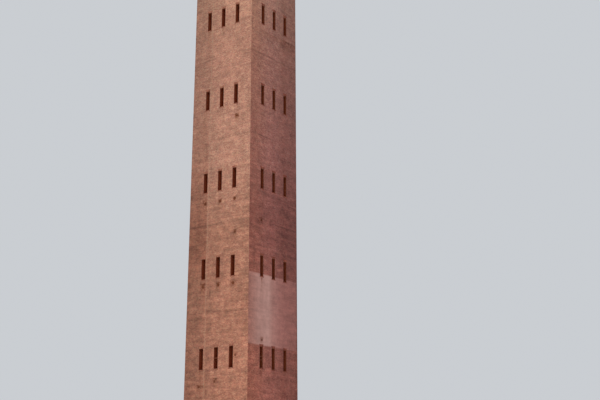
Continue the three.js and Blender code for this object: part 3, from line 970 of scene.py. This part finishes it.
def up_head(head, below, above, crown):
    """The route over a head's string course, up a bay to its crown and over the parapet's string."""
    wall = -head.wall - TAPE_OFF
    face = -head.face - TAPE_OFF
    bay = head.foot + head.spring + crown
    string = -head.face - head.proud - 0.0022
    return [
        *up(wall - 0.008, head.foot - below, head.foot + 0.0012), *up(wall, head.foot + above, bay),
        *up(face - 0.0012, bay, head.floor - 0.003), *up(string, head.floor - 0.001, head.floor + 0.01),
        (face, head.floor + 0.014),
    ]


def over_parapet(head, top, out, slack, falls):
    """The route out round a parapet's coping, over its top and down to its inner face, less some slack.
    The falls are how far below the top its points lie."""
    face = -head.face - TAPE_OFF
    inside = -head.face + head.thickness
    middle = inside - head.thickness / 2
    lines = [face, face - out, face - out, middle, inside - 0.0032, inside + TAPE_OFF - slack]
    return [(line, top - fall) for line, fall in zip(lines, falls)]


def conductor():
    """Copper tape from the ground up the front, over both parapets to the lantern's lead dome."""
    below = SHAFT_TOP - 0.03
    coping = GALLERY.top + 0.0118
    deck = GALLERY.floor + 0.03 + TAPE_OFF
    crenel = TURRET.floor + TURRET.sill + 0.007
    roof = ROOF_TOP + TAPE_OFF
    route = [
        *up(-PLINTH_HALF - 0.0025, 0.001, PLINTH_SHOULDER + 0.001),
        (-PLINTH_TOP_HALF - TAPE_OFF, PLINTH_TOP + 0.001), (-shaft_half(0.115) - TAPE_OFF, 0.1115),
        (-shaft_half(below) - TAPE_OFF, below), *up_head(GALLERY, 0.026, 0.005, 0.0338),
        *over_parapet(GALLERY, coping, 0.0048, 0.0012, (0.0138, 0.0123, 0.0045, 0, 0.0045, 0.0178)),
        (-GALLERY.face + GALLERY.thickness + TAPE_OFF, deck),
        *up(-TURRET.wall - TAPE_OFF, deck, TURRET.foot - 0.028), *up_head(TURRET, 0.024, 0.004, 0.03),
        *over_parapet(TURRET, crenel, 0.0045, 0, (0.006, 0.004, 0.001, 0, 0.001, 0.01)),
        (-TURRET.face + TURRET.thickness + TAPE_OFF, roof), (-0.2, roof),
    ]
    drum = -DRUM_FLAT - TAPE_OFF
    arcade = -ARCADE_FLAT - TAPE_OFF
    over_roof = ROOF_TOP + 5 * TAPE_OFF
    upper = [
        (-0.202, over_roof), *up(drum - 0.0044, over_roof, ROOF_TOP + 0.018),
        *up(drum, ROOF_TOP + 0.021, ARCADE_FOOT - 0.013),
        *up(drum - 0.0034, ARCADE_FOOT - 0.01, ARCADE_FOOT + 0.0062),
        *up(arcade, ARCADE_FOOT + 0.0068, ARCADE_TOP - 0.018),
        *up(arcade - 0.008, ARCADE_TOP - 0.014, ARCADE_TOP),
        *up(-0.1672, ARCADE_TOP + 0.022, ARCADE_TOP + 0.037),
        (-0.15, DOME_FOOT + 0.001), (-0.152, DOME_FOOT + 0.02),
    ]
    lap = ROOF_TOP + 3 * TAPE_OFF
    tapes = [
        tape(route, shifted(CONDUCTOR)),
        tape([(CONDUCTOR - 0.003, lap), (-0.042, lap)], turned(-1) @ shifted(0.2)),
        tape(upper, shifted(-0.045)),
    ]
    clip = worn(slab(0.0045, -0.0014, 0.001, -0.002, 0.002), 0.0004)
    return [*tapes, repeated(clip, [on_wall(CONDUCTOR, 0.2 + 0.15 * i) for i in range(42)])]


dressed("lightning_conductor", copper, *conductor())


# Doorway
def doorway_stones():
    """Jamb stones that bite into the brick, moulded imposts, a ring of voussoirs and a tall keystone."""
    proud = 0.0098
    count = 12
    half = DOOR_HALF * math.sin(math.pi / count / 2) - 0.0003
    voussoir = slab(half, -proud, -0.002, DOOR_HALF - 0.0006, SURROUND + 0.0008)
    pick(lambda at, way: at.z > DOOR_HALF + 0.01)
    resized(SURROUND / DOOR_HALF, 1, 1)
    ring = half_ring(worn(voussoir, 0.0009, 2), count)
    key = slab(0.02, -0.015, -0.002, DOOR_HALF - 0.004, SURROUND + 0.014)
    pick(lambda at, way: at.z < DOOR_HALF)
    resized(0.62, 1, 1)
    stepped((0.0035, 0.0012))
    spring = on_wall(0, DOOR_SPRING)
    yield repeated(joined([ring, worn(key, 0.0005, 2)]), [spring])
    impost = block((DOOR_HALF - 0.0035, -0.0135, -0.013), (SURROUND + 0.006, -0.002, 0))
    pick(lambda at, way: way.z < -0.9, "FACE")
    extruded(0, 0, -0.006)
    resized(0.86, 0.72, 1, ((DOOR_HALF + SURROUND) / 2, -0.004, 0))
    yield repeated(mirrored(worn(impost, 0.0008, 2)), [spring])
    stones = 6
    rise = (DOOR_SPRING - 0.019 - DOOR_SILL) / stones
    for i in range(stones):
        outer = SURROUND + 0.0008 + 0.014 * (i % 2)
        jamb = block((DOOR_HALF - 0.0006, -proud, 0.0003), (outer, -0.002, rise - 0.0003))
        yield repeated(mirrored(worn(jamb, 0.0009, 2)), [on_wall(0, DOOR_SILL + rise * i)])


def own_copy(node):
    """A copy of one of the solids, with its loose triangles joined up, open for editing."""
    made = bpy.data.objects.new(node, frame["nodes"][node].data.copy())
    bpy.context.collection.objects.link(made)
    joined([made])
    pick()
    bpy.ops.mesh.remove_doubles(threshold=1e-5)
    return made


def boarded_leaf(hand, node):
    """A leaf of the doors: the solid's own shape, scored into six boards with V joints."""
    leaf = own_copy(node)
    joints = [hand * BOARD * i for i in range(1, 6)]
    for joint in joints:
        for aside in (-0.0008, 0, 0.0008):
            cut((joint + aside, 0, 0), (1, 0, 0))
    pick(lambda at, way: min(abs(at.x - x) for x in joints) < 1e-5 and at.y < -DOOR_FACE + 1e-4)
    moved(0, 0.0016, 0)
    dressed("boarded_" + node, boards, leaf)
    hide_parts(node)


def door_strips():
    """A sloping weather bar at the foot of the doors, and a strip over their joint."""
    half = DOOR_HALF - 0.001
    crown = DOOR_SPRING + DOOR_HALF
    bar = slab(half, -DOOR_FACE - 0.005, -DOOR_FACE, DOOR_SILL + 0.0006, DOOR_SILL + 0.01)
    pick(lambda at, way: at.y < -DOOR_FACE - 0.002 and at.z > DOOR_SILL + 0.005)
    moved(0, 0.0038, 0)
    strip = slab(0.0035, -DOOR_FACE - 0.0022, -DOOR_FACE, DOOR_SILL + 0.01, crown - 0.003)
    return joined([worn(bar, 0.0005), worn(strip, 0.0008, 2)])


def door_iron():
    """Strap hinges with spearheads, knuckles and studs, and a ring handle on a round plate."""
    length = 0.084
    strap = block((0, -0.0016, -0.0036), (length, 0.0004, 0.0036))
    pick(lambda at, way: at.x > length / 2)
    resized(1, 1, 0.5)
    pick(lambda at, way: way.x > 0.9, "FACE")
    extruded(0.005, 0, 0)
    resized(1, 1, 2.6)
    extruded(0.009, 0, 0)
    resized(1, 1, 0.12)
    worn(strap)
    knuckle = primitive(
        bpy.ops.mesh.primitive_cylinder_add, vertices=12, radius=0.0026, depth=0.014,
        location=(-0.0005, -0.001, 0))
    pick(lambda at, way: abs(way.z) > 0.9, "FACE")
    inset(0.001, depth=0.0006)
    worn(knuckle)
    stud = primitive(
        bpy.ops.mesh.primitive_uv_sphere_add, segments=8, ring_count=6, radius=0.0013,
        location=(0.008, -0.0014, 0))
    hinge = joined([strap, knuckle, repeated(stud, [shifted(i * 0.0175) for i in range(5)])])
    places = [shifted(-DOOR_HALF + 0.002, -DOOR_FACE, z) for z in (0.074, 0.198)]
    hinges = mirrored(repeated(hinge, places))
    rose = primitive(
        bpy.ops.mesh.primitive_cylinder_add, vertices=20, radius=0.0062, depth=0.0014, rotation=ACROSS_WALL)
    stepped((0.003, -0.0016))
    ring = primitive(
        bpy.ops.mesh.primitive_torus_add, major_radius=0.0072, minor_radius=0.0009, major_segments=24,
        minor_segments=8, rotation=ACROSS_WALL, location=(0, -0.003, -0.007))
    handle = repeated(joined([worn(rose), ring]), [shifted(0.015, -DOOR_FACE, 0.135)])
    return joined([hinges, handle])


dressed("doorway_stones", cut_stone, *doorway_stones())
boarded_leaf(-1, "door_leaf_left")
boarded_leaf(1, "door_leaf_right")
dressed("door_strips", boards, door_strips())
dressed("door_ironwork", black_iron, door_iron())


# Plinth
def plinth_blocks():
    """Three courses of blocks, breaking joint, each with a drafted margin and a raised face. At each
    corner every other course runs through, and on the front the doorway breaks them."""
    gap = PLINTH_DOOR_GAP
    proud = PLINTH_HALF + 0.0012
    deep = PLINTH_HALF - 0.01
    courses = 3
    rise = PLINTH_SHOULDER / courses
    blocks = 14
    length = 2 * PLINTH_HALF / blocks
    seam = 0.0004
    pieces = []
    for turn in range(4):
        for course in range(courses):
            reach = deep if (turn + course) % 2 else proud
            joints = [(i + 0.5 * (course % 2)) * length - PLINTH_HALF for i in range(1, blocks)]
            ends = [-reach, *joints, reach]
            if turn == 0:
                ends = sorted([-gap, gap, *[x for x in ends if abs(x) > gap]])
            low = rise * course + seam
            for left, right in [pair for pair in zip(ends, ends[1:]) if pair != (-gap, gap)]:
                stone = block((left + seam, -proud, low), (right - seam, -deep, low + rise - 2 * seam))
                pick(outward, "FACE")
                inset(0.003)
                inset(0.0012, depth=0.001)
                editing(False)
                stone.data.transform(turned(turn))
                pieces.append(stone)
    return worn(joined(pieces), 0.0005)


dressed("plinth_blocks", cut_stone, plinth_blocks())


# Turret doorway
def turret_doorway():
    """A ring of bricks on edge over two rows of them down the jambs."""
    ring = arch_ring(TURRET_DOOR_HALF, 13, 0.0015)
    ring = repeated(ring, [on_wall(0, TURRET_DOOR_SPRING, TURRET.wall)])
    brick_end = worn(block(
        (TURRET_DOOR_HALF + 0.0002, -0.0015, 0.0004), (TURRET_DOOR_HALF + HEADER, 0.004, COURSE - 0.0004)))
    courses = int((TURRET_DOOR_SPRING - TURRET_FOOT) / COURSE)
    places = [on_wall(0, TURRET_FOOT + i * COURSE, TURRET.wall) for i in range(courses)]
    return joined([ring, mirrored(repeated(brick_end, places))])


dressed("turret_doorway_bricks", red_brick, turret_doorway())

# A stone step through the turret's wall
half = TURRET_DOOR_HALF - 0.0005
wall = -TURRET.wall
step = slab(half, wall - 0.006, wall + 0.06, TURRET_FOOT + 0.0002, TURRET_FOOT + 0.004)
dressed("turret_threshold", cut_stone, worn(step, 0.0008, 2))


# Lantern
EIGHT_SIDES = around(sides=8)


def corner_shafts():
    """Round shafts with bases and bell capitals, at the corners of the arcade."""
    low = ARCADE_FOOT + 0.0062
    high = ARCADE_TOP - 0.014
    corner = ARCADE_FLAT / math.cos(math.pi / 8) - 0.0012
    shaft = primitive(
        bpy.ops.mesh.primitive_cylinder_add, vertices=12, radius=0.0048, depth=high - low,
        location=(0, 0, (low + high) / 2))
    swells = [(1.35, 0.0004), (1, 0.003), (0.78, 0.0006), (1, 0.008), (1.55, 0.006), (1, 0.004)]
    for out in (-1, 1):
        pick(lambda at, way: way.z * out > 0.9, "FACE")
        moved(0, 0, -0.022 * out)
        for swell, step in swells:
            extruded(0, 0, step * out)
            resized(swell, swell, 1)
    smoothed(40)
    return repeated(shaft, [turned(turn + 0.5, 8) @ shifted(0, -corner) for turn in range(8)])


def lantern_stones():
    """Strings, sills, imposts, keystones, dentils and corner shafts of the lantern."""
    face, inside, edge = -ARCADE_FLAT, -LANTERN_INSIDE, ARCADE_FLAT * math.tan(math.pi / 8)
    foot, top, crown = ARCADE_FOOT, ARCADE_TOP, ARCADE_SPRING + ARCADE_HALF
    yield band(
        DRUM_FLAT - 0.012, DRUM_FLAT + 0.003, foot - 0.008, foot + 0.006, slope=0.002, cove=0.004, sides=8,
        segments=4, profile=0.2)
    yield band(
        DRUM_FLAT - 0.006, DRUM_FLAT + 0.004, ROOF_TOP + 0.0002, ROOF_TOP + 0.016, slope=0.003, sides=8)
    yield band(ARCADE_FLAT - 0.006, ARCADE_FLAT + 0.0034, top - 0.015, top - 0.011, sides=8)
    yield corner_shafts()
    sill = coping_stone(
        (-0.034, face - 0.0035, ARCADE_SILL - 0.007), (0.034, inside - 0.002, ARCADE_SILL + 0.0005), 0.0015)
    yield repeated(sill, EIGHT_SIDES)
    impost = worn(block(
        (ARCADE_HALF - 0.0012, face - 0.0026, ARCADE_SPRING - 0.009),
        (edge - 0.005, inside - 0.004, ARCADE_SPRING)), 0.0006, 2)
    yield repeated(mirrored(impost), EIGHT_SIDES)
    key = slab(0.0042, face - 0.0036, face + 0.006, crown - 0.0015, crown + 0.015)
    pick(lambda at, way: at.z < crown)
    resized(0.68, 1, 1)
    yield repeated(worn(key, 0.0006, 2), EIGHT_SIDES)
    dentil = worn(slab(0.0034, face - 0.0078, face + 0.002, top - 0.0105, top - 0.0003), 0.0004)
    yield repeated(dentil, around([shifted((i - 3.5) * 0.014) for i in range(8)], 8))


dressed("lantern_stones", cut_stone, *lantern_stones())
archivolts = around([on_wall(0, ARCADE_SPRING, ARCADE_FLAT)], 8)
dressed("lantern_archivolts", red_brick, repeated(arch_ring(ARCADE_HALF, 9, 0.0016), archivolts))


# Dome and finial
def dome_lines(thickness, cuts, chosen):
    """Lead rolls or laps along chosen edges of the dome's outer skin, once planes have cut it."""
    own_copy("lantern_dome")
    bpy.ops.mesh.dissolve_limited(angle_limit=math.radians(0.5))
    pick(lambda at, way: at.x * way.x + at.y * way.y < -1e-4, "FACE")
    bpy.ops.mesh.delete(type="FACE")
    for place, normal in cuts:
        cut(place, normal)
    pick(lambda at, way: not chosen(at, way), "EDGE")
    bpy.ops.mesh.delete(type="EDGE_FACE")
    editing(False)
    bpy.ops.object.convert(target="CURVE")
    curve = bpy.context.active_object.data
    curve.bevel_depth = thickness
    curve.bevel_resolution = 1
    curve.use_fill_caps = True
    bpy.ops.object.convert(target="MESH")
    healed()
    smoothed(60)
    return bpy.context.active_object


def on_rib(at, way):
    """Whether an edge runs up a corner of the dome or up the middle of one of its sides."""
    aside = math.degrees(math.atan2(at.x, at.y)) % 22.5
    return abs(way.z) > 0.1 and min(aside, 22.5 - aside) < 0.5


def on_lap(at, way):
    """Whether an edge runs level round the dome where two sheets of lead overlap."""
    return abs(way.z) < 0.01 and min(abs(at.z - level) for level in DOME_LAPS) < 1e-4


upright = [((0, 0, 0), turned(turn, 8) @ Vector((1, 0, 0))) for turn in range(4)]
levels = [((0, 0, level), (0, 0, 1)) for level in DOME_LAPS]
dressed("dome_leadwork", lead, dome_lines(0.0022, upright, on_rib), dome_lines(0.0011, levels, on_lap))

# The finial's turned shape, with its facets shaded smooth
turned_finial = own_copy("finial")
smoothed(35)
dressed("turned_finial", black_iron, turned_finial)
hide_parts("finial")

# Stage: pale painted floor, a soft key light from the left and an even pale surround
begin("pale_floor")
surface = material.node_tree.nodes["Principled BSDF"]
feed(surface.inputs["Base Color"], "#d8d8d6")
feed(surface.inputs["Roughness"], 0.9)
floor = primitive(bpy.ops.mesh.primitive_plane_add, size=160)
floor.name = "studio_floor"
floor.data.materials.append(material)

world = bpy.data.worlds.new("studio")
bpy.context.scene.world = world
world.use_nodes = True
background = world.node_tree.nodes["Background"]
feed(background.inputs["Color"], "#dfe3e8")
feed(background.inputs["Strength"], 0.8)

bpy.ops.object.light_add(type="SUN", rotation=(math.radians(58), 0, math.radians(-32)))
sun = bpy.context.active_object.data
sun.energy = 1.9
sun.angle = math.radians(30)
sun.color = (1, 0.97, 0.92)

camera_data = bpy.data.cameras.new("photo_camera")
camera_data.sensor_width = SENSOR
camera_data.lens = SENSOR * PHOTO_FOCAL / PHOTO_WIDTH
camera_data.clip_end = 400
camera = bpy.data.objects.new("photo_camera", camera_data)
bpy.context.scene.collection.objects.link(camera)
camera.location = PHOTO_CAMERA
camera.rotation_euler = (math.radians(90 + PHOTO_PITCH), 0, math.radians(PHOTO_YAW))
bpy.context.scene.camera = camera
bpy.context.scene.view_settings.view_transform = "Standard"
